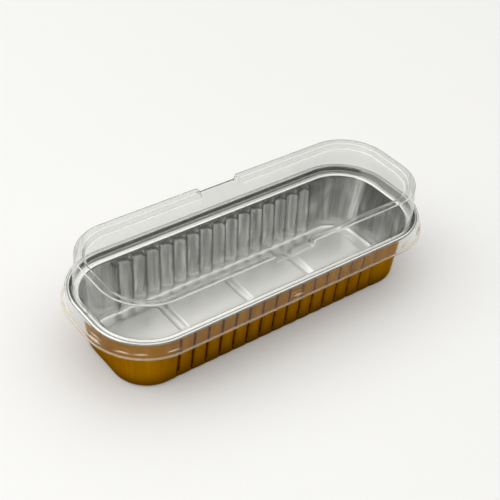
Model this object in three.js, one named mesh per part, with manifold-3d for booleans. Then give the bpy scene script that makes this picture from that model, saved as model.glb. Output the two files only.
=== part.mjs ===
// Rectangular foil baking cup with its clear push-on dome lid.
// Millimetres, +Z up, +X along the length, origin in the middle of the underside.
import * as THREE from 'three';
import { mergeVertices } from 'three/addons/utils/BufferGeometryUtils.js';
import Module from 'manifold-3d';

const wasm = await Module();
wasm.setup();

// Cup, measured over its rolled rim
const rimLength = 160;
const rimWidth = 60.2;
const rimCornerRadius = 23.8;
const cupHeight = 30;
const foilThickness = 0.15;

// Rolled rim: a bead that stands above the flat ledge inside it
const beadRadius = 1;
const beadRise = 1.6;
const beadRootRadius = 0.3;
const ledgeWidth = 2.4;
const ledgeEdgeRadius = 0.6;

// Walls: how far they lean in between ledge and floor, and the round where they meet the floor
const sideLean = 2.8;
const endLean = 4.5;
const floorEdgeRadius = 2.5;

// Flutes pressed out of the two long walls
const flutePitch = 6.76;
const fluteDepth = 1.2;
const fluteCreaseDepth = 0.06;
const fluteTopGap = 3.4;
const fluteBottomGap = 0.7;
const fluteSideGap = 5;

// Floor: raised panels with a groove all round and grooves across between them
const panelRise = 1.1;
const panelSlope = 2;
const panelEdgeGap = 0.8;
const grooveFlat = 1.2;
const grooveSpacing = 33.5;
const grooveCount = 3;

// Lid: clear sheet that lies over the bead, with a flared skirt outside and a dome inside
const lidThickness = 0.3;
const seatClearance = 0.3;
const skirtClearance = 0.3;
const skirtDrop = 6;
const skirtFlare = 1.4;
const lipWidth = 0.5;
const domeFootInset = 2;
const domeLean = 1.2;
const domeHeight = 16.3;
const lidCornerRadius = 0.7;

// Stacking ridge round the lid's top, open in the middle of both long sides
const ridgeHeight = 2.5;
const ridgeTopWidth = 3.4;
const ridgeInnerSlope = 0.9;
const ridgeOpening = 17.5;
const ridgeEndSlope = 2.5;

// Snap lugs inside the skirt, below the bead: pairs about each corner's middle, one on each long side
const lugLength = 5;
const lugDrop = 3.6;
const lugClearance = 0.35;
const lugCornerAngles = [-36.5, -8.5, 8.5, 36.5];

// Facets
const cornerSteps = 7;
const roundSteps = 3;
const fluteSteps = 4;
const fluteEndRows = [1, 0.85, 0.5, 0];
const lugSteps = 6;
const lugCapSteps = 2;

// Limits: least radius of an outline's corners, most of a side that a round takes, least step of a profile
const leastRadius = 0.5;
const roundShare = 0.45;
const leastStep = 1e-6;

// Heights and places that follow from the sizes above
const ledgeHeight = cupHeight - beadRise;
const rimBand = 2 * beadRadius + ledgeWidth;
const wallTop = ledgeHeight - foilThickness;
const wallTopOut = foilThickness - rimBand;
const floorOut = wallTopOut - sideLean;
const lidSeat = cupHeight + seatClearance;
const lidTop = cupHeight + domeHeight;
const panelTop = lidTop - ridgeHeight;

/** A closed mesh as a solid for cutting and joining. */
function solid(geometry) {
  geometry.deleteAttribute('normal');
  geometry.deleteAttribute('uv');
  const merged = mergeVertices(geometry);
  const vertProperties = new Float32Array(merged.attributes.position.array);
  const triVerts = new Uint32Array(merged.index.array);
  return new wasm.Manifold(new wasm.Mesh({ numProp: 3, vertProperties, triVerts }));
}

/** A finished solid as a named mesh. */
function part(name, body, look) {
  const { vertProperties, triVerts } = body.getMesh();
  const geometry = new THREE.BufferGeometry();
  geometry.setAttribute('position', new THREE.BufferAttribute(vertProperties, 3));
  geometry.setIndex(new THREE.BufferAttribute(triVerts, 1));
  geometry.computeVertexNormals();
  const mesh = new THREE.Mesh(geometry, new THREE.MeshStandardMaterial(look));
  mesh.name = name;
  return mesh;
}

/** Rounded rectangle, anticlockwise, with extra points at the given x on both long sides. */
function outline(length, width, radius, stops = []) {
  const most = Math.min(length, width) / 2 - leastRadius;
  const round = THREE.MathUtils.clamp(radius, leastRadius, most);
  const points = [];
  for (let corner = 0; corner < 4; corner++) {
    const middle = new THREE.Vector2(
      (length / 2 - round) * (corner === 0 || corner === 3 ? 1 : -1),
      (width / 2 - round) * (corner < 2 ? 1 : -1),
    );
    for (let step = 0; step <= cornerSteps; step++) {
      const angle = (corner + step / cornerSteps) * Math.PI / 2;
      points.push(new THREE.Vector2(Math.cos(angle), Math.sin(angle)).multiplyScalar(round).add(middle));
    }
    if (corner === 0) {
      points.push(...stops.map((x) => new THREE.Vector2(-x, width / 2)));
    }
    if (corner === 2) {
      points.push(...stops.map((x) => new THREE.Vector2(x, -width / 2)));
    }
  }
  return points;
}

/** Closed skin over a row of equal rings, with a flat end on the first and the last ring. */
function skin(rings) {
  const count = rings[0].length;
  const end = (rings.length - 1) * count;
  const points = rings.flat();
  const middle = (ring) => ring.reduce((sum, p) => sum.add(p), new THREE.Vector3()).divideScalar(count);
  const first = points.push(middle(rings[0])) - 1;
  const last = points.push(middle(rings.at(-1))) - 1;
  const index = [];
  for (let j = 0; j < count; j++) {
    const next = (j + 1) % count;
    index.push(first, next, j);
    index.push(last, end + j, end + next);
    for (let row = 0; row < end; row += count) {
      index.push(row + j, row + next, row + count + next);
      index.push(row + j, row + count + next, row + count + j);
    }
  }
  const geometry = new THREE.BufferGeometry().setFromPoints(points);
  geometry.setIndex(index);
  return geometry;
}

/** Runs a profile to a corner and rounds it off on the way to the next point. */
function roundCorner(profile, corner, next, radius) {
  const from = profile.currentPoint.clone().sub(corner);
  const to = next.clone().sub(corner);
  const bend = Math.acos(from.dot(to) / from.length() / to.length());
  const most = roundShare * Math.min(from.length(), to.length());
  const reach = Math.min(radius / Math.tan(bend / 2), most);
  const start = corner.clone().addScaledVector(from.normalize(), reach);
  const stop = corner.clone().addScaledVector(to.normalize(), reach);
  profile.lineTo(start.x, start.y);
  profile.quadraticCurveTo(corner.x, corner.y, stop.x, stop.y);
}

/** Profile through the given corners, each [out, height, radius]. */
function cornerProfile(corners) {
  const points = corners.map(([out, height]) => new THREE.Vector2(out, height));
  const profile = new THREE.Path([points[0]]);
  for (let k = 1; k < points.length - 1; k++) {
    roundCorner(profile, points[k], points[k + 1], corners[k][2]);
  }
  profile.lineTo(points.at(-1).x, points.at(-1).y);
  return profile;
}

/** The parallel of a profile, at a distance to the left of the way it runs. */
function parallel(points, distance) {
  return points.map((point, k) => {
    const before = points[Math.max(k - 1, 0)];
    const after = points[Math.min(k + 1, points.length - 1)];
    const come = (k > 0 ? point.clone().sub(before) : after.clone().sub(point)).normalize();
    const leave = (k < points.length - 1 ? after.clone().sub(point) : come.clone()).normalize();
    const across = new THREE.Vector2(-come.y - leave.y, come.x + leave.x).normalize();
    const stretch = Math.sqrt((1 + come.dot(leave)) / 2);
    return point.clone().addScaledVector(across, distance / stretch);
  });
}

/** One ring of the cup: out is measured from the rim's edge, and the ends lean in more than the sides. */
function cupRing(out, height) {
  const share = THREE.MathUtils.clamp(1 - height / wallTop, 0, 1);
  const lean = (endLean - sideLean) * share;
  const points = outline(rimLength + 2 * (out - lean), rimWidth + 2 * out, rimCornerRadius + out - lean);
  return points.map((p) => new THREE.Vector3(p.x, p.y, height));
}

/** The pressed sheet: flat floor, leaning walls, ledge and rolled bead, without flutes or panels. */
function sheet() {
  const rollInside = beadRadius - foilThickness;
  const rollHeight = cupHeight - beadRadius;
  const rise = -beadRadius - rollInside;
  const under = cornerProfile([
    [floorOut - 2 * floorEdgeRadius, 0],
    [floorOut, 0, floorEdgeRadius],
    [wallTopOut, wallTop, ledgeEdgeRadius],
    [rise, wallTop, beadRootRadius + foilThickness],
    [rise, rollHeight],
  ]);
  under.absarc(-beadRadius, rollHeight, rollInside, Math.PI, -Math.PI / 2, true);
  const apart = (p, k, all) => k === 0 || p.distanceTo(all[k - 1]) > leastStep;
  const outer = under.getPoints(roundSteps).filter(apart);
  const inner = parallel(outer, foilThickness).reverse();
  return solid(skin([...outer, ...inner].map((p) => cupRing(p.x, p.y))));
}

/**
 * Banks of round-ended flutes for both long walls. The lobes stand on a plane that lies face inside the
 * wall's outer side, and the banks reach in to back.
 */
function flutes(face, back) {
  const straight = rimLength - 2 * Math.max(rimCornerRadius, leastRadius);
  const count = Math.max(1, Math.floor((straight - 2 * fluteSideGap) / flutePitch));
  const low = floorEdgeRadius + fluteBottomGap;
  const high = ledgeHeight - fluteTopGap;
  const roundEnd = Math.min(flutePitch, high - low) / 2;
  const rows = [
    ...fluteEndRows.map((u) => [low + (1 - u) * roundEnd, u]),
    ...fluteEndRows.toReversed().map((u) => [high - (1 - u) * roundEnd, u]),
  ];
  const sink = foilThickness / 4;
  const rings = rows.map(([height, u]) => {
    const wall = rimWidth / 2 + wallTopOut - sideLean * (1 - height / wallTop);
    const half = count * flutePitch / 2;
    const ring = [];
    for (let k = 0; k <= count * fluteSteps; k++) {
      const s = 2 * (k % fluteSteps) / fluteSteps - 1;
      const crown = fluteDepth * (1 - u * u) - (fluteDepth - fluteCreaseDepth) * s * s;
      const x = half - k * flutePitch / fluteSteps;
      ring.push(new THREE.Vector3(x, wall - face + Math.max(crown, -sink), height));
    }
    ring.push(new THREE.Vector3(-half, wall - back, height));
    ring.push(new THREE.Vector3(half, wall - back, height));
    return ring;
  });
  const bank = skin(rings);
  return solid(bank.clone().rotateZ(Math.PI)).add(solid(bank));
}

/** The floor's raised panels: one plateau parted by the cross grooves, standing on the given level. */
function panels(level) {
  const foot = floorOut - floorEdgeRadius - panelEdgeGap;
  const below = foilThickness / 2;
  const run = panelSlope / panelRise;
  let body = solid(skin([
    cupRing(foot + below * run, level - below),
    cupRing(foot - panelSlope, level + panelRise),
  ]));
  const low = grooveFlat / 2;
  const wide = low + 2 * panelSlope;
  const groove = new THREE.Shape([
    new THREE.Vector2(-low, level - foilThickness),
    new THREE.Vector2(low, level - foilThickness),
    new THREE.Vector2(low, level),
    new THREE.Vector2(wide, level + 2 * panelRise),
    new THREE.Vector2(-wide, level + 2 * panelRise),
    new THREE.Vector2(-low, level),
  ]);
  for (let k = 0; k < grooveCount; k++) {
    const bar = new THREE.ExtrudeGeometry(groove, { depth: rimWidth, bevelEnabled: false });
    bar.rotateX(Math.PI / 2);
    bar.translate((k - (grooveCount - 1) / 2) * grooveSpacing, rimWidth / 2, 0);
    body = body.subtract(solid(bar));
  }
  return body;
}

/** The foil cup: the sheet with its flutes and panels pressed in. */
function foilCup() {
  const pressedOut = sheet().add(flutes(0, foilThickness / 2));
  const hollowed = pressedOut.subtract(flutes(foilThickness, foilThickness + fluteDepth));
  return hollowed.add(panels(foilThickness)).subtract(panels(0));
}

/** One ring of the lid: what stands above the panel level is the ridge, which drops at its openings. */
function lidRing(out, height, panelLevel) {
  const ends = [ridgeOpening / 2, ridgeOpening / 2 + ridgeEndSlope];
  const stops = [-ends[1], -ends[0], 0, ends[0], ends[1]];
  const points = outline(rimLength + 2 * out, rimWidth + 2 * out, rimCornerRadius + out, stops);
  return points.map((p) => {
    const ridge = THREE.MathUtils.clamp((Math.abs(p.x) - ends[0]) / ridgeEndSlope, 0, 1);
    const rise = Math.max(height - panelLevel, 0);
    return new THREE.Vector3(p.x, p.y, height - rise * (1 - ridge));
  });
}

/** Snap lugs: short round beads on the skirt's inner face, clear of the rolled bead when the lid lifts. */
function lugs() {
  const share = (lugDrop + seatClearance) / (skirtDrop + seatClearance);
  const skirtOut = skirtClearance + skirtFlare * share;
  const radius = (skirtOut + lidThickness / 2 - lugClearance) / 2;
  const out = lugClearance + radius;
  const lug = new THREE.CapsuleGeometry(radius, lugLength - 2 * radius, lugCapSteps, lugSteps);
  const round = rimCornerRadius + out;
  const places = [[0, rimWidth / 2 + out, 0], [0, -rimWidth / 2 - out, 0]];
  for (const [sideX, sideY] of [[1, 1], [-1, 1], [-1, -1], [1, -1]]) {
    const middle = Math.atan2(sideY, sideX);
    for (const turn of lugCornerAngles) {
      const angle = middle + THREE.MathUtils.degToRad(turn);
      const x = sideX * (rimLength / 2 - rimCornerRadius) + round * Math.cos(angle);
      const y = sideY * (rimWidth / 2 - rimCornerRadius) + round * Math.sin(angle);
      places.push([x, y, angle - Math.PI / 2]);
    }
  }
  return places.map(([x, y, turn]) => {
    const bead = lug.clone().rotateZ(Math.PI / 2).rotateZ(turn);
    return solid(bead.translate(x, y, cupHeight - lugDrop));
  });
}

/** The dome lid: one clear sheet from the flat panel out over ridge, dome, ledge, skirt and lip. */
function domeLid() {
  const crestOut = -domeFootInset - domeLean;
  const ridgeInside = crestOut - ridgeTopWidth;
  const ridgeFoot = ridgeInside - ridgeInnerSlope;
  const skirtTop = skirtClearance + lidThickness;
  const skirtFoot = cupHeight - skirtDrop + lidThickness;
  const over = lidSeat + lidThickness;
  const profile = cornerProfile([
    [ridgeFoot - ridgeTopWidth, panelTop],
    [ridgeFoot, panelTop, lidCornerRadius],
    [ridgeInside, lidTop, lidCornerRadius],
    [crestOut, lidTop, lidCornerRadius],
    [-domeFootInset, over, lidCornerRadius],
    [skirtTop, over, lidCornerRadius],
    [skirtTop + skirtFlare, skirtFoot, lidThickness],
    [skirtTop + skirtFlare + lipWidth, skirtFoot],
  ]);
  const outside = profile.getPoints(roundSteps);
  const inside = parallel(outside, -lidThickness);
  const body = solid(skin([
    ...inside.map((p) => lidRing(p.x, p.y, panelTop - lidThickness)),
    ...outside.reverse().map((p) => lidRing(p.x, p.y, panelTop)),
  ]));
  return lugs().reduce((joined, lug) => joined.add(lug), body);
}

const bakingCup = new THREE.Group();
bakingCup.add(part('foil_cup', foilCup(), { color: 0xb07a1c, roughness: 0.32, metalness: 1 }));
bakingCup.add(part('dome_lid', domeLid(), {
  color: 0xf2f4f5,
  roughness: 0.08,
  metalness: 0,
  transparent: true,
  opacity: 0.25,
}));

export default bakingCup;
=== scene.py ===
import math

import bmesh
import bpy
import numpy as np
from mathutils import Matrix, Vector


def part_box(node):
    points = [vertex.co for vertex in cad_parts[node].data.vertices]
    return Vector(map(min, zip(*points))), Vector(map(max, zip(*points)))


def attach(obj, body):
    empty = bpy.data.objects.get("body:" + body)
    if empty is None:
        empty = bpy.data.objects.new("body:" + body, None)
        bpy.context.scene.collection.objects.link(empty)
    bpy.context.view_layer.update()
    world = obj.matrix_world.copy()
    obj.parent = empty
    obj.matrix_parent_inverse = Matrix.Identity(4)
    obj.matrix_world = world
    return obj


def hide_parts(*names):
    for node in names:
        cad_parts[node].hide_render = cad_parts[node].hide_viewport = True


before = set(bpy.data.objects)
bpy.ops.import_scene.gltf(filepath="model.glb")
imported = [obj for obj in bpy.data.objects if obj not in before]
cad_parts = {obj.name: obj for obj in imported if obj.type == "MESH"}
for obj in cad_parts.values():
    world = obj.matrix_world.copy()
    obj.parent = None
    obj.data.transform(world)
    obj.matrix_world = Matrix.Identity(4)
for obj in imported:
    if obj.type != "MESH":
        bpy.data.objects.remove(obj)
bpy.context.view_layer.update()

MM = 0.001

# The cup is one stamped sheet of soft aluminium foil: bare and bright inside, lacquered gold outside.
# Its walls lean out from a grooved floor, the long ones pressed into flutes, and end in a flat ledge whose
# edge is rolled outwards into a bead.
CUP_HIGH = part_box("foil_cup")[1]
HALF_LENGTH = CUP_HIGH.x
HALF_WIDTH = CUP_HIGH.y
RIM_TOP = CUP_HIGH.z
RIM_RADIUS = 23.8 * MM
STRAIGHT = HALF_LENGTH - RIM_RADIUS
HELD = 42 * MM
CORNER_STEPS = 16
END_STEPS = 10
STATION_DIGITS = 6
TURN_DIGITS = 12
MERGE_DISTANCE = 1e-7

# Gauge, rim, ledge and walls
FOIL = 0.15 * MM
BEAD = 1.2 * MM
BEAD_RISE = 2.1 * MM
BEAD_LEAN = 0.1 * MM
BEAD_SIDE = 0.85 * MM
BEAD_TUCK = 0.45 * MM
BEAD_ROUND = 0.42 * MM
BEAD_FOOT = 0.25 * MM
STEP_FOOT = 1.1 * MM
LEDGE = 3.75 * MM
LEDGE_EDGE = 0.7 * MM
LEDGE_TOP = RIM_TOP - BEAD_RISE
LEDGE_UNDER = LEDGE_TOP - FOIL
CREST_UNDER = RIM_TOP - FOIL
SIDE_LEAN = 2.1 * MM
END_LEAN = 3.8 * MM
WALL_OUT = -BEAD - LEDGE

# Flutes of the long walls
FLUTE_COUNT = 15
FLUTE_PITCH = 6.76 * MM
FLUTE_REACH = FLUTE_COUNT * FLUTE_PITCH / 2
FLUTE_DEPTH = 2 * MM
FLUTE_SINK = 2.2 * MM
FLUTE_GAP = 1.2 * MM
FLUTE_HIGH = LEDGE_TOP - FLUTE_GAP
FLUTE_END = 3 * MM
FLUTE_SIDE = 1.8 * MM
FLUTE_TOP = 2.4 * MM
FLUTE_FADE = 3.2 * MM
FLUTE_SOFT = 0.25 * MM
FLUTE_POWER = 3.4
FLUTE_SLACK = 0.01 * MM
FLUTE_STEPS = 6
MARGIN_STEPS = 6

# Floor: raised panels with grooves across between them
FLOOR_EDGE = 2.4 * MM
FLOOR_OUT = WALL_OUT - SIDE_LEAN
PANEL_RISE = 1.5 * MM
PANEL_SLOPE = 2.1 * MM
PANEL_ROUND = 4.5 * MM
PANEL_GAP = 2.75 * MM
PANEL_FOOT = FLOOR_OUT - FLOOR_EDGE - PANEL_GAP
GROOVE_SPACING = 33.5 * MM
GROOVES = np.array([-1, 0, 1]) * GROOVE_SPACING
GROOVE_FLAT = 0.8 * MM
SLOPE_STEPS = 6

# Painted shade on the two sides of the foil: in the flutes' creases, over the bare walls, in the step up to
# the bead and under its crest, across the gold lobes and towards the gold side's base
PAINTED_SHADE_DARK = 0.2
CREASE_SHADE_SHARE = 0.75
CREASE_SHADE_TOP = 1.5
WALL_SHADE = 0.47
WALL_SHADE_FADE = 1 * MM
RIM_SHADE = 0.85
RIM_SHADE_REACH = 3.2 * MM
RIM_SHADE_FADE = 1.4 * MM
RIM_SHADE_DROP = 0.6 * MM
GOLD_CREASE_SHADE = 0.12
GOLD_CREASE_SHADE_SHARE = 0.35
GOLD_LOBE_SHADE = 0.25
BASE_SHADE = 0.95
BASE_RISE = 8 * MM
BASE_POWER = 1.25

# Colours, gloss and marks of the foil
BARE_FOIL = dict(
    colour=(0.9, 0.9, 0.89),
    dark=(0.85, 0.85, 0.84),
    edge=(1, 1, 1),
    rough=0.17,
    floor_rough=0.33,
    marks=0.26,
)
GOLD_LACQUER = dict(
    colour=(0.46, 0.208, 0.004),
    dark=(0.3, 0.12, 0.001),
    edge=(0.8, 0.6, 0.2),
    rough=0.2,
    floor_rough=0.2,
    marks=0.18,
)
FLOOR_BLEND = (2 * MM, 7 * MM)
MARKS_END = (LEDGE_TOP - 2.6 * MM, LEDGE_TOP - 0.8 * MM)
POLISH_START = (LEDGE_TOP - 1 * MM, LEDGE_TOP - 0.3 * MM)
POLISH = 0.35
PATCH_SCALE = 60
PATCH_DETAIL = 4
PATCH_RANGE = (0.3, 0.7)
PATCH_GLOSS = 0.02
DRAWN_STRETCH = (1, 0.08, 1)
MARK_SCALE = 420
MARK_DETAIL = 2
MARK_RANGE = (0.4, 0.65)
STREAK_SCALE = 900
STREAK_DETAIL = 3
STREAK_HEIGHT = 0.012 * MM
RIPPLE_SCALE = 130
RIPPLE_DETAIL = 2
RIPPLE_HEIGHT = 0.2 * MM
RIPPLE_STRENGTH = 0.05


def loop_stations(long_x, corner_steps, end_steps):
    """Stations once round a rounded rectangle, anticlockwise from the right end.

    Each is (tx, ty, nx, ny): the point is (tx * straight + nx * radius, ty * flat + ny * radius), so along a
    straight side t runs and n is square to it, and round a corner t stays and n turns.
    """
    along = np.asarray(long_x) / STRAIGHT
    turn = np.linspace(0, math.pi / 2, corner_steps + 1)
    rise = np.linspace(-1, 1, end_steps + 1)[1:-1]
    sides = []
    for quarter in range(4):
        angle = turn + quarter * math.pi / 2
        nx, ny = np.cos(angle).round(TURN_DIGITS), np.sin(angle).round(TURN_DIGITS)
        middle = math.pi * (quarter + 0.5) / 2
        sx, sy = np.sign(math.cos(middle)), np.sign(math.sin(middle))
        flat = (along[::-1], rise[::-1], along, rise)[quarter]
        unit = np.ones_like(flat)
        sides.append(np.stack([sx + 0 * turn, sy + 0 * turn, nx, ny], 1))
        if quarter in (0, 2):
            sides.append(np.stack([flat, sy * unit, 0 * unit, sy * unit], 1))
        else:
            sides.append(np.stack([sx * unit, flat, sx * unit, 0 * unit], 1))
    return np.concatenate(sides).T


def carried(profile, stations, lean=0.0):
    """The profile's points (out, height) carried round the rim's outline, as a grid of rows and stations.

    A ring at out has the corner radius rim radius + out - lean, down to nothing, and lean draws its ends in.
    Inside the ring with no radius left, the rings are plain rectangles that shrink to the middle line. Only
    the parts past HELD are drawn in with their ends, so the grid's cross lines are straight between them.
    """
    tx, ty, nx, ny = stations
    out, height = profile[:, :1], profile[:, 1:]
    inset = RIM_RADIUS + out - lean
    radius = np.maximum(inset, 0)
    past = np.maximum(np.abs(tx) * STRAIGHT - HELD, 0) / (STRAIGHT - HELD)
    x = tx * STRAIGHT + np.sign(tx) * past * np.minimum(inset, 0) + nx * radius
    y = ty * (HALF_WIDTH + out - radius) + ny * radius
    return np.stack([x, y, height + 0 * x], 2)


def rounded_profile(corners):
    """Points through corners (out, height, reach of the turn, steps round it, steps to the next one).

    A turn is a curve of two tangents, start (1 - t)^2 + 2 corner t (1 - t) + stop t^2, which begins and ends
    its reach away from the corner, and the runs between turns are cut into equal steps.
    """
    corner = np.array([c[:2] for c in corners], float)
    points = [corner[:1]]
    for k in range(1, len(corners)):
        run = corners[k - 1][4]
        reach, steps = corners[k][2:4]
        start = stop = corner[k]
        if steps:
            back, ahead = corner[k - 1] - corner[k], corner[k + 1] - corner[k]
            start = corner[k] + back / np.linalg.norm(back) * reach
            stop = corner[k] + ahead / np.linalg.norm(ahead) * reach
        t = np.linspace(0, 1, run + 1)[1:, None]
        points.append(points[-1][-1:] * (1 - t) + start * t)
        if steps:
            t = np.linspace(0, 1, steps + 1)[1:, None]
            points.append(start * (1 - t) ** 2 + 2 * corner[k] * t * (1 - t) + stop * t ** 2)
    return np.concatenate(points)


def beside(profile, distance):
    """The parallel of a profile at a distance to its left, with mitred corners."""
    step = np.diff(profile, axis=0)
    step /= np.linalg.norm(step, axis=1, keepdims=True)
    come = np.concatenate([step[:1], step])
    leave = np.concatenate([step, step[-1:]])
    across = np.stack([-(come + leave)[:, 1], (come + leave)[:, 0]], 1)
    across /= np.linalg.norm(across, axis=1, keepdims=True)
    stretch = np.sqrt((1 + (come * leave).sum(1, keepdims=True)) / 2)
    return profile + across * distance / stretch


def smooth_step(t):
    """0 below 0, 1 above 1 and 3t^2 - 2t^3 between."""
    t = np.clip(t, 0, 1)
    return t * t * (3 - 2 * t)


def ease(t):
    """A ramp from 0 to 1 with a straight middle and short round ends: half a smooth step, half the ramp."""
    return (smooth_step(t) + np.clip(t, 0, 1)) / 2


def sheet_object(name, grid, outer_row, materials, painted_light):
    """A closed sheet from a grid whose first and last rows fold shut on the middle line.

    Rows before outer_row get the first material and the others the last. The UV map runs along the rim and
    along the profile, in metres, and the painted shade or highlight passed in is kept as an attribute of the
    points.
    """
    rows, count = grid.shape[:2]
    here = np.arange(rows * count).reshape(rows, count)
    ahead = np.roll(here, -1, axis=1)
    quads = np.stack([here[:-1], here[1:], ahead[1:], ahead[:-1]], 2).reshape(-1, 4)
    mesh = bpy.data.meshes.new(name)
    mesh.from_pydata(grid.reshape(-1, 3), [], quads)
    ring = grid[outer_row - 1]
    along = np.concatenate([[0], np.cumsum(np.linalg.norm(np.roll(ring, -1, 0) - ring, axis=1))])
    rise = np.linalg.norm(np.diff(grid[:, count // 2], axis=0), axis=1)
    rise = np.concatenate([[0], np.cumsum(rise)])
    u = np.stack([along[:-1], along[:-1], along[1:], along[1:]], 1)
    v = np.stack([rise[:-1], rise[1:], rise[1:], rise[:-1]], 1)
    loops = (rows - 1, count, 4)
    uv = np.stack([np.broadcast_to(u, loops), np.broadcast_to(v[:, None], loops)], 3)
    mesh.uv_layers.new(name="sheet").data.foreach_set("uv", uv.astype(np.float32).ravel())
    last = (len(materials) - 1) * (np.arange(rows - 1) >= outer_row)
    mesh.polygons.foreach_set("material_index", np.repeat(last, count).astype(np.int32))
    mesh.polygons.foreach_set("use_smooth", np.ones(len(quads), bool))
    for material in materials:
        mesh.materials.append(material)
    kept = mesh.attributes.new("painted_light", "FLOAT", "POINT")
    kept.data.foreach_set("value", painted_light.astype(np.float32).ravel())
    shell = bmesh.new()
    shell.from_mesh(mesh)
    bmesh.ops.remove_doubles(shell, verts=shell.verts, dist=MERGE_DISTANCE)
    shell.to_mesh(mesh)
    shell.free()
    piece = bpy.data.objects.new(name, mesh)
    bpy.context.scene.collection.objects.link(piece)
    return piece


def feed(tree, node, inputs):
    """Each named or numbered input of a node is linked to another node's output or set to a value."""
    for key, value in inputs.items():
        if isinstance(value, bpy.types.NodeSocket):
            tree.links.new(value, node.inputs[key])
        else:
            node.inputs[key].default_value = value


def add_node(tree, kind, inputs, **settings):
    """A new node of a kind, with its settings made before its inputs are fed."""
    node = tree.nodes.new(kind)
    for key, value in settings.items():
        setattr(node, key, value)
    feed(tree, node, inputs)
    return node


def noise(tree, place, scale, detail):
    """A cloudy value about 0.5 that depends on place."""
    inputs = {"Vector": place, "Scale": scale, "Detail": detail}
    return add_node(tree, "ShaderNodeTexNoise", inputs).outputs["Fac"]


def span(tree, value, start, stop, low=0, high=1):
    """low where value is below start, high where it is above stop, and a straight ramp between."""
    inputs = {"Value": value, "From Min": start, "From Max": stop, "To Min": low, "To Max": high}
    return add_node(tree, "ShaderNodeMapRange", inputs).outputs["Result"]


def times(tree, first, second):
    """The product of two values."""
    return add_node(tree, "ShaderNodeMath", {0: first, 1: second}, operation="MULTIPLY").outputs["Value"]


def blend(tree, share, first, second):
    """A colour that runs from first to second as share runs from 0 to 1."""
    inputs = {"Factor": share, "A": first, "B": second}
    return add_node(tree, "ShaderNodeMix", inputs, data_type="RGBA").outputs["Result"]


def painted_light_value(tree):
    """The painted light that a sheet keeps at each of its points: painted shade on the foil, painted
    highlights on the clear sheet.
    """
    return add_node(tree, "ShaderNodeAttribute", {}, attribute_name="painted_light").outputs["Fac"]


def new_material(name):
    """A new material with its node tree and the surface shader in it."""
    material = bpy.data.materials.new(name)
    material.use_nodes = True
    tree = material.node_tree
    return material, tree, tree.nodes["Principled BSDF"]


def foil_material(name, colour, dark, edge, rough, floor_rough, marks):
    """Rolled foil: patches of tone and gloss, drawing marks and fine streaks up the walls, a faint ripple,
    painted shade that the sheet keeps at its points, a floor with a gloss of its own and a rim that the
    rolling has polished."""
    material, tree, shader = new_material(name)
    place = add_node(tree, "ShaderNodeTexCoord", {})
    point = place.outputs["Object"]
    height = add_node(tree, "ShaderNodeSeparateXYZ", {"Vector": point}).outputs["Z"]
    stretch = add_node(tree, "ShaderNodeMapping", {"Vector": place.outputs["UV"], "Scale": DRAWN_STRETCH})
    drawn = stretch.outputs["Vector"]
    wall = times(tree, span(tree, height, *FLOOR_BLEND), span(tree, height, *MARKS_END, 1, 0))

    patch = noise(tree, point, PATCH_SCALE, PATCH_DETAIL)
    tone = blend(tree, patch, (*dark, 1), (*colour, 1))
    mark = span(tree, noise(tree, drawn, MARK_SCALE, MARK_DETAIL), *MARK_RANGE, 0, marks)
    marked = {0: mark, 1: wall, 2: painted_light_value(tree)}
    shade = add_node(tree, "ShaderNodeMath", marked, operation="MULTIPLY_ADD", use_clamp=True)
    # Painted shade: the tone is mixed towards this dark colour by the sheet's painted shade and by the
    # drawing marks
    crease = (*(PAINTED_SHADE_DARK * c for c in dark), 1)

    gloss = span(tree, patch, *PATCH_RANGE, rough - PATCH_GLOSS, rough + PATCH_GLOSS)
    satin = times(tree, gloss, span(tree, height, *FLOOR_BLEND, floor_rough / rough, 1))

    streak = add_node(tree, "ShaderNodeBump", {
        "Height": noise(tree, drawn, STREAK_SCALE, STREAK_DETAIL),
        "Distance": STREAK_HEIGHT,
        "Strength": wall,
    })
    ripple = add_node(tree, "ShaderNodeBump", {
        "Height": noise(tree, point, RIPPLE_SCALE, RIPPLE_DETAIL),
        "Distance": RIPPLE_HEIGHT,
        "Strength": RIPPLE_STRENGTH,
        "Normal": streak.outputs["Normal"],
    })
    feed(tree, shader, {
        "Metallic": 1,
        "Specular Tint": (*edge, 1),
        "Base Color": blend(tree, shade.outputs["Value"], tone, crease),
        "Roughness": times(tree, satin, span(tree, height, *POLISH_START, 1, POLISH)),
        "Normal": ripple.outputs["Normal"],
    })
    return material


def foil_profile():
    """The gold side, from the middle of the floor up the wall and over the ledge to the end of the curl."""
    return rounded_profile([
        (-HALF_WIDTH, 0, 0, 0, 3),
        (-RIM_RADIUS + END_LEAN - SIDE_LEAN, 0, 0, 0, 3),
        (PANEL_FOOT - PANEL_ROUND, 0, 0, 0, 4),
        (PANEL_FOOT - PANEL_SLOPE, 0, 0, 0, 8),
        (PANEL_FOOT, 0, 0, 0, 2),
        (FLOOR_OUT, 0, FLOOR_EDGE, 7, 24),
        (WALL_OUT, LEDGE_UNDER, LEDGE_EDGE, 5, 3),
        (-BEAD, LEDGE_UNDER, STEP_FOOT, 8, 1),
        (BEAD_LEAN - BEAD, CREST_UNDER, BEAD_ROUND, 6, 1),
        (-FOIL, CREST_UNDER, BEAD_ROUND, 6, 1),
        (-FOIL, CREST_UNDER - BEAD_SIDE, BEAD_FOOT, 4, 1),
        (-FOIL - BEAD_TUCK, CREST_UNDER - BEAD_SIDE - BEAD_TUCK, 0, 0, 0),
    ])


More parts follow.
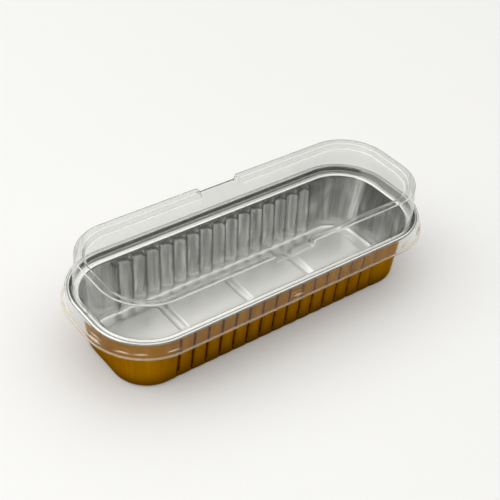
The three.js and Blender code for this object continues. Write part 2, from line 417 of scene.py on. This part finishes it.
def long_side():
    """Places along a long side, crowded towards the flutes' creases and on the slopes of the grooves."""
    half = 1 - np.linspace(1, 0, FLUTE_STEPS + 1) ** 2
    lobe = np.concatenate([-half[:0:-1], half[:-1]]) / 2 + 0.5
    flute_x = np.append((np.arange(FLUTE_COUNT)[:, None] + lobe).ravel(), FLUTE_COUNT) - FLUTE_COUNT / 2
    flute_x *= FLUTE_PITCH
    margin = np.linspace(-STRAIGHT, flute_x[0], MARGIN_STEPS + 1)[1:-1]
    slope = np.append(np.linspace(0, PANEL_SLOPE, SLOPE_STEPS + 1), PANEL_ROUND) + GROOVE_FLAT / 2
    slope_x = (GROOVES[:, None] + np.concatenate([-slope, slope])).ravel()
    return np.unique(np.concatenate([margin, flute_x, -margin, slope_x]).round(STATION_DIGITS))


def flutes(stations, height):
    """How far the flutes move a point in y, how near it is to a crease, and how far up the painted crease
    shade reaches.

    With s from -1 to 1 between two creases and t from 0 to 1 up the round top, a flute stands out by
    depth * soft(1 - |s|^power - t^2), where soft(v) = (v + sqrt(v^2 + e^2)) / 2, on ground that is sunk into
    the wall. Creases are |s|^power. All of it fades out at the floor.
    """
    tx, _, nx, ny = stations
    x = np.abs(tx) * STRAIGHT
    on_side = nx == 0
    s = 2 * ((tx * STRAIGHT / FLUTE_PITCH + FLUTE_COUNT / 2) % 1) - 1
    t = np.maximum(height - FLUTE_HIGH + FLUTE_END, 0) / FLUTE_END
    crease = np.abs(s) ** FLUTE_POWER
    off_floor = smooth_step(height / FLUTE_FADE)
    fluted = (x < FLUTE_REACH + FLUTE_SLACK) * on_side * off_floor
    crown = 1 - crease - t ** 2
    crown = FLUTE_DEPTH * (crown + np.sqrt(crown ** 2 + (FLUTE_SOFT / FLUTE_DEPTH) ** 2)) / 2 * fluted
    sink = smooth_step((FLUTE_REACH - x) / FLUTE_SIDE + 1) * on_side * off_floor
    sink = sink * smooth_step((LEDGE_UNDER - LEDGE_EDGE - height) / FLUTE_TOP)
    # Reach of the painted crease shade: full on the lobes, fading out round their tops
    fold = smooth_step(CREASE_SHADE_TOP - t) * fluted
    return ny * (crown - FLUTE_SINK * sink), crease, fold


def foil_shades(profile, crease, fold):
    """How much painted shade each point gets, from 0 to 1, on the bare side and on the gold side.

    Painted shade: the bare side in its creases, on its walls, in the step up to the bead and under its
    crest; the gold side in its creases, across its lobes and more towards its base, as base * (1 - height /
    rise)^power.
    """
    out, height = profile[:, :1], profile[:, 1:]
    wall = smooth_step(height / FLUTE_FADE) * smooth_step((LEDGE_UNDER - height) / WALL_SHADE_FADE)
    bare = np.maximum(np.clip(1 - (1 - crease) / CREASE_SHADE_SHARE, 0, 1) * fold, WALL_SHADE * wall)
    step = smooth_step((out + RIM_SHADE_REACH) / RIM_SHADE_FADE)
    bare = np.maximum(bare, RIM_SHADE * step * smooth_step((CREST_UNDER - height) / RIM_SHADE_DROP))
    line = GOLD_CREASE_SHADE * np.clip(1 - (1 - crease) / GOLD_CREASE_SHADE_SHARE, 0, 1)
    gold = np.maximum(line, GOLD_LOBE_SHADE * crease) * fold
    gold = np.maximum(gold, BASE_SHADE * np.maximum(1 - height / BASE_RISE, 0) ** BASE_POWER)
    return bare, gold


def foil_cup():
    """The gold profile and the bare one beside it, both carried round the rim and moved by the flutes.

    Panels raise the floor by rise * ease((r - d) / slope), where r is their corner radius and d is the
    distance past the lines r inside their edges, taken round at the corners.
    """
    profile = foil_profile()
    out, height = profile[:, :1], profile[:, 1:]
    stations = loop_stations(long_side(), CORNER_STEPS, END_STEPS)
    lean = (END_LEAN - SIDE_LEAN) * np.clip(1 - height / LEDGE_UNDER, 0, 1)
    push, crease, fold = flutes(stations, height)
    sides = []
    for line in (beside(profile, FOIL), profile):
        grid = carried(line, stations, lean)
        grid[:, :, 1] += push
        apart = np.abs(grid[:, :, :1] - GROOVES).min(2) - GROOVE_FLAT / 2
        short = np.maximum(PANEL_ROUND - apart, 0), np.maximum(PANEL_ROUND - PANEL_FOOT + out, 0)
        grid[:, :, 2] += PANEL_RISE * ease((PANEL_ROUND - np.hypot(*short)) / PANEL_SLOPE)
        sides.append(grid)
    # Painted shade of both sides, which the sheet keeps at its points
    bare, gold = foil_shades(profile, crease, fold)
    materials = [foil_material("bare_foil", **BARE_FOIL), foil_material("gold_lacquer", **GOLD_LACQUER)]
    sheet = np.concatenate([sides[0], sides[1][::-1]])
    painted_light = np.concatenate([bare, gold[::-1]])
    return sheet_object("cup_sheet", sheet, len(profile), materials, painted_light)


cup = foil_cup()
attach(cup, "cup")
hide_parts("foil_cup")

# The lid is one clear plastic sheet, drawn hot over a mould. It rests on the bead with a narrow ledge. A
# dome with a stacking ridge stands inside that, and a flared skirt with snap dents and a thin lip hangs
# outside.
LID_LOW, LID_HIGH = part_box("dome_lid")
SHEET = 0.3 * MM
SEAT_GAP = 0.3 * MM
SEAT = RIM_TOP + SEAT_GAP
SKIRT_GAP = 0.3 * MM
SKIRT_OUT = SKIRT_GAP + SHEET
SKIRT_FLARE = 1.4 * MM
SKIRT_FOOT = LID_LOW.z + SHEET
LIP = 0.5 * MM
LIP_ROUND = 0.35 * MM
DOME_INSET = 2 * MM
DOME_LEAN = 1.2 * MM
LID_ROUND = 0.45 * MM
SHOULDER_ROUND = 1 * MM
LID_SIDE_STEPS = 132
LID_CORNER_STEPS = 24
LID_END_STEPS = 12

# Stacking ridge and its openings
RIDGE_RISE = 2.5 * MM
RIDGE_WIDTH = 3.4 * MM
RIDGE_SLOPE = 0.9 * MM
RIDGE_OPENING = 17.5 * MM
RIDGE_END = 0.9 * MM
RIDGE_STEPS = 24

# Snap dents in the skirt
DENT_LENGTH = 5 * MM
DENT_FOOT = RIM_TOP - 4.4 * MM
DENT_SHELF = 0.45 * MM
DENT_RISE = 2 * MM
DENT_DEPTH = 0.75 * MM
DENT_POWER = 6
DENT_TURNS = np.radians([-36.5, -8.5, 8.5, 36.5])

# Looks of the clear sheet
# Painted highlights: a pale diffuse tint stands in for some of the clear sheet on its bends, lip and dent
# shelves, near white on the dome and tan on the skirt
BEND_HIGHLIGHT = 0.36
LIP_HIGHLIGHT = 0.45
SHEET_INDEX = 1.45
SHEET_REFLECTION = (0.45, 0.45, 0.45, 1)
SHEET_TINT = (0.89, 0.895, 0.885, 1)
DOME_HIGHLIGHT_TINT = (0.95, 0.945, 0.93, 1)
SKIRT_HIGHLIGHT_TINT = (0.97, 0.8, 0.52, 1)
SHADOW_TINT = (0.95, 0.955, 0.95, 1)
WAVE_SCALE = 90
WAVE_DETAIL = 2
WAVE_HEIGHT = 0.1 * MM
WAVE_STRENGTH = 0.05
HAZE = (0.01, 0.06)


def bends(profile):
    """How sharply a profile turns at each point: 1 on a turn of the lid's usual radius, 0 on a straight. The
    lid's painted highlights follow it.
    """
    step = np.diff(profile, axis=0)
    length = np.linalg.norm(step, axis=1)
    turn = np.abs(np.diff(np.unwrap(np.arctan2(step[:, 1], step[:, 0]))))
    curve = turn / (length[1:] + length[:-1]) * 2
    return np.clip(np.concatenate([[0], curve * LID_ROUND, [1]]), 0, 1)


def mixed_shader(tree, share, first, second):
    """A shader that runs from first to second as share runs from 0 to 1."""
    return add_node(tree, "ShaderNodeMixShader", {"Fac": share, 1: first, 2: second}).outputs["Shader"]


def clear_material():
    """Clear sheet: a smooth glass-like body with a faint drawn waviness, painted highlights where its
    profile bends, round its lip and on its dents, and open to light from lamps."""
    material, tree, shader = new_material("clear_sheet")
    point = add_node(tree, "ShaderNodeTexCoord", {}).outputs["Object"]
    height = add_node(tree, "ShaderNodeSeparateXYZ", {"Vector": point}).outputs["Z"]
    # Painted highlight: where the sheet keeps it, the body is less clear and shows a pale tint, tan below
    # the rim
    highlight_share = painted_light_value(tree)
    pale = blend(tree, span(tree, height, RIM_TOP, SEAT), SKIRT_HIGHLIGHT_TINT, DOME_HIGHLIGHT_TINT)
    wave = noise(tree, point, WAVE_SCALE, WAVE_DETAIL)
    bump = add_node(tree, "ShaderNodeBump", {
        "Height": wave,
        "Distance": WAVE_HEIGHT,
        "Strength": WAVE_STRENGTH,
    })
    feed(tree, shader, {
        "IOR": SHEET_INDEX,
        "Specular Tint": SHEET_REFLECTION,
        "Base Color": blend(tree, highlight_share, SHEET_TINT, pale),
        "Transmission Weight": span(tree, highlight_share, 0, 1, 1, 1 - BEND_HIGHLIGHT),
        "Roughness": span(tree, wave, 0, 1, *HAZE),
        "Normal": bump.outputs["Normal"],
    })
    shadow = add_node(tree, "ShaderNodeLightPath", {}).outputs["Is Shadow Ray"]
    through = add_node(tree, "ShaderNodeBsdfTransparent", {"Color": SHADOW_TINT}).outputs["BSDF"]
    surface = mixed_shader(tree, shadow, shader.outputs["BSDF"], through)
    feed(tree, tree.nodes["Material Output"], {"Surface": surface})
    return material


def snap_dents(rim):
    """Depth of the dents along the rim: depth * exp(-(2 d / length)^power) at d from the nearest one.

    Each corner has four of them, and each long side one in its middle.
    """
    corner_x, corner_y = np.meshgrid([-1, 1], [-1, 1])
    corner_x, corner_y = corner_x.reshape(-1, 1), corner_y.reshape(-1, 1)
    angle = np.arctan2(corner_y, corner_x) + DENT_TURNS
    dent_x = (corner_x * STRAIGHT + RIM_RADIUS * np.cos(angle)).ravel()
    dent_y = (corner_y * (HALF_WIDTH - RIM_RADIUS) + RIM_RADIUS * np.sin(angle)).ravel()
    dent_x = np.append(dent_x, [0, 0])
    dent_y = np.append(dent_y, [HALF_WIDTH, -HALF_WIDTH])
    away = np.hypot(rim[:, :1] - dent_x, rim[:, 1:2] - dent_y).min(1)
    return DENT_DEPTH * np.exp(-(2 * away / DENT_LENGTH) ** DENT_POWER)


def dome_lid():
    """Outer profile from the middle of the panel to the lip, the inner one beside it, both carried round
    the rim.

    At the openings what stands above the panel drops to it, with a round end in plan. The sheet has painted
    highlights where its profile bends above the panel and round the lip, and on the shelves of the dents,
    there as 4 s (1 - s) with s from 0 to 1.
    """
    top, panel = LID_HIGH.z, LID_HIGH.z - RIDGE_RISE
    over = SEAT + SHEET
    crest = -DOME_INSET - DOME_LEAN
    inner = crest - RIDGE_WIDTH
    foot = inner - RIDGE_SLOPE
    outer = rounded_profile([
        (-HALF_WIDTH, panel, 0, 0, 3),
        (-RIM_RADIUS, panel, 0, 0, 4),
        (foot, panel, LID_ROUND, 5, 3),
        (inner, top, LID_ROUND, 5, 4),
        (crest, top, LID_ROUND, 5, 10),
        (-DOME_INSET, over, LID_ROUND, 5, 3),
        (SKIRT_OUT, over, SHOULDER_ROUND, 8, 36),
        (SKIRT_OUT + SKIRT_FLARE, SKIRT_FOOT, LIP_ROUND, 6, 2),
        (SKIRT_OUT + SKIRT_FLARE + LIP, SKIRT_FOOT, 0, 0, 0),
    ])
    out, height = outer[:, :1], outer[:, 1:]
    half = RIDGE_WIDTH / 2 + RIDGE_SLOPE
    end_x = RIDGE_OPENING / 2 + np.linspace(0, half + RIDGE_END, RIDGE_STEPS + 1)
    side_x = np.linspace(-STRAIGHT, STRAIGHT, LID_SIDE_STEPS + 1)[1:-1]
    long_x = np.unique(np.concatenate([side_x, end_x, -end_x]).round(STATION_DIGITS))
    stations = loop_stations(long_x, LID_CORNER_STEPS, LID_END_STEPS)

    dent = snap_dents(carried(np.array([[0, 0]]), stations)[0])
    rise = height - DENT_FOOT
    shelf = smooth_step(rise / DENT_SHELF)
    skirt = shelf * smooth_step(1 - (rise - DENT_SHELF) / DENT_RISE) * (out > 0)

    centre = crest - RIDGE_WIDTH / 2
    hook = half * (1 - np.sqrt(1 - np.clip((out - centre) / half, -1, 1) ** 2))
    start = RIDGE_OPENING / 2 + hook
    stand = smooth_step((np.abs(carried(outer, stations)[:, :, 0]) - start) / RIDGE_END)
    stand = np.where(stations[2] == 0, stand, 1)

    # Painted highlights: on the bends above the panel, round the lip and on the dents' shelves
    lip = LIP_HIGHLIGHT * (height < SKIRT_FOOT + LID_ROUND)
    painted_light = bends(outer)[:, None] * np.where(height > panel, stand, lip)
    painted_light = np.maximum(painted_light, 4 * shelf * (1 - shelf) * (out > 0) * dent / DENT_DEPTH)
    sides = []
    for profile, level in ((outer, panel), (beside(outer, -SHEET), panel - SHEET)):
        grid = carried(profile, stations)
        grid[:, :, 0] -= stations[2] * dent * skirt
        grid[:, :, 1] -= stations[3] * dent * skirt
        grid[:, :, 2] -= np.maximum(profile[:, 1:] - level, 0) * (1 - stand)
        sides.append(grid)
    sheet = np.concatenate([sides[0], sides[1][::-1]])
    painted_light = np.concatenate([painted_light, painted_light[::-1]])
    return sheet_object("lid_sheet", sheet, len(outer), [clear_material()], painted_light)


lid = dome_lid()
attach(lid, "lid")
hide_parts("dome_lid")

# The studio: a pale matt floor that runs out of sight, and one large soft lamp high on the left behind the
# cup. The surround that the foil mirrors is dark above the horizon and bright overhead. What is seen
# straight or through the lid is a plain pale backdrop instead.
FLOOR_HALF = 30.0
FLOOR_COLOUR = (0.87, 0.875, 0.885)
FLOOR_DIM = 0.985
FLOOR_ROUGH = 0.8
FLOOR_SHINE = 0.2
FLOOR_GLOW = 0.12
CLOUD_SCALE = 3
CLOUD_DETAIL = 2
BACKDROP_COLOUR = (0.93, 0.925, 0.91, 1)
LAMP_PLACE = (-1.0, 0.35, 0.6)
LAMP_AIM = (0, 0, 0.02)
LAMP_SIZE = (1.6, 1.0)
LAMP_POWER = 6.5
SURROUND = (
    (0, 0.4),
    (0.03, 0.02),
    (0.45, 0.03),
    (0.54, 0.2),
    (0.62, 0.65),
    (0.7, 0.95),
    (0.84, 1),
    (1, 0.8),
)
SURROUND_TINT = (1, 0.99, 0.95)
SURROUND_STRENGTH = 1.5


def seen_rays(tree):
    """The light path, and a value that is 1 for what is seen straight or through the clear sheet."""
    path = add_node(tree, "ShaderNodeLightPath", {})
    rays = {0: path.outputs["Is Camera Ray"], 1: path.outputs["Is Transmission Ray"]}
    return path, add_node(tree, "ShaderNodeMath", rays, operation="MAXIMUM").outputs["Value"]


def pale_floor():
    """A flat square, matt, with a faint slow change of tone and a small glow where it is seen."""
    mesh = bpy.data.meshes.new("floor")
    corner = np.array([[-1, -1, 0], [1, -1, 0], [1, 1, 0], [-1, 1, 0]]) * FLOOR_HALF
    mesh.from_pydata(corner, [], [(0, 1, 2, 3)])
    material, tree, shader = new_material("floor_paper")
    point = add_node(tree, "ShaderNodeTexCoord", {}).outputs["Object"]
    cloud = noise(tree, point, CLOUD_SCALE, CLOUD_DETAIL)
    dim = (*(c * FLOOR_DIM for c in FLOOR_COLOUR), 1)
    feed(tree, shader, {
        "Base Color": blend(tree, cloud, (*FLOOR_COLOUR, 1), dim),
        "Roughness": FLOOR_ROUGH,
        "Specular IOR Level": FLOOR_SHINE,
    })
    seen = seen_rays(tree)[1]
    glow = add_node(tree, "ShaderNodeEmission", {"Color": BACKDROP_COLOUR}).outputs["Emission"]
    surface = mixed_shader(tree, times(tree, seen, FLOOR_GLOW), shader.outputs["BSDF"], glow)
    feed(tree, tree.nodes["Material Output"], {"Surface": surface})
    mesh.materials.append(material)
    floor = bpy.data.objects.new("floor", mesh)
    bpy.context.scene.collection.objects.link(floor)


def soft_lamp():
    """A rectangular area lamp that faces the cup."""
    data = bpy.data.lights.new("left", "AREA")
    data.shape = "RECTANGLE"
    data.size, data.size_y = LAMP_SIZE
    data.energy = LAMP_POWER
    lamp = bpy.data.objects.new("left", data)
    lamp.location = LAMP_PLACE
    lamp.rotation_euler = (Vector(LAMP_AIM) - Vector(LAMP_PLACE)).to_track_quat("-Z", "Y").to_euler()
    bpy.context.scene.collection.objects.link(lamp)


def surround():
    """World light: a level that depends on height, from the horizon to overhead, and the plain backdrop for
    seen rays that have met no mirror on their way."""
    world = bpy.data.worlds.new("studio")
    world.use_nodes = True
    tree = world.node_tree
    place = add_node(tree, "ShaderNodeTexCoord", {}).outputs["Generated"]
    height = add_node(tree, "ShaderNodeSeparateXYZ", {"Vector": place}).outputs["Z"]
    ramp = add_node(tree, "ShaderNodeValToRGB", {"Fac": height})
    for position, _ in SURROUND[1:-1]:
        ramp.color_ramp.elements.new(position)
    for stop, (_, level) in zip(ramp.color_ramp.elements, SURROUND):
        stop.color = (*(c * level for c in SURROUND_TINT), 1)
    lit = tree.nodes["Background"]
    feed(tree, lit, {"Color": ramp.outputs["Color"], "Strength": SURROUND_STRENGTH})
    path, seen = seen_rays(tree)
    unmirrored = {0: seen, 1: path.outputs["Glossy Depth"]}
    straight = add_node(tree, "ShaderNodeMath", unmirrored, operation="SUBTRACT", use_clamp=True)
    pale = add_node(tree, "ShaderNodeBackground", {"Color": BACKDROP_COLOUR}).outputs["Background"]
    surface = mixed_shader(tree, straight.outputs["Value"], lit.outputs["Background"], pale)
    feed(tree, tree.nodes["World Output"], {"Surface": surface})
    bpy.context.scene.world = world


pale_floor()
soft_lamp()
surround()

# The camera stands where the photograph was taken from: in front of the left end, looking down, tilted a
# little, with a long lens. Its lens and shift are in pixels of the photograph, over the photograph's width.
PHOTO_WIDTH = 500
VIEW_AZIMUTH = math.radians(-40.265)
VIEW_ELEVATION = math.radians(38.094)
VIEW_ROLL = math.radians(5.032)
VIEW_DISTANCE = 0.4654
VIEW_LENS = 1124.6 / PHOTO_WIDTH
VIEW_SHIFT = (-1.54 / PHOTO_WIDTH, -4.93 / PHOTO_WIDTH)
VIEW_NEAREST = 0.01


def photograph_camera():
    """Camera looking at the middle of the rim's top plane, turned by azimuth, elevation and roll."""
    back = Vector((
        math.sin(VIEW_AZIMUTH) * math.cos(VIEW_ELEVATION),
        -math.cos(VIEW_AZIMUTH) * math.cos(VIEW_ELEVATION),
        math.sin(VIEW_ELEVATION),
    ))
    level = Vector((math.cos(VIEW_AZIMUTH), math.sin(VIEW_AZIMUTH), 0))
    right = Matrix.Rotation(VIEW_ROLL, 3, back) @ level
    data = bpy.data.cameras.new("camera")
    data.lens = VIEW_LENS * data.sensor_width
    data.shift_x, data.shift_y = VIEW_SHIFT
    data.clip_start = VIEW_NEAREST
    camera = bpy.data.objects.new("camera", data)
    axes = Matrix((right, back.cross(right), back)).transposed()
    place = Vector((0, 0, RIM_TOP)) + back * VIEW_DISTANCE
    camera.matrix_world = Matrix.Translation(place) @ axes.to_4x4()
    bpy.context.scene.collection.objects.link(camera)
    bpy.context.scene.camera = camera


photograph_camera()
bpy.context.scene.view_settings.view_transform = "Standard"
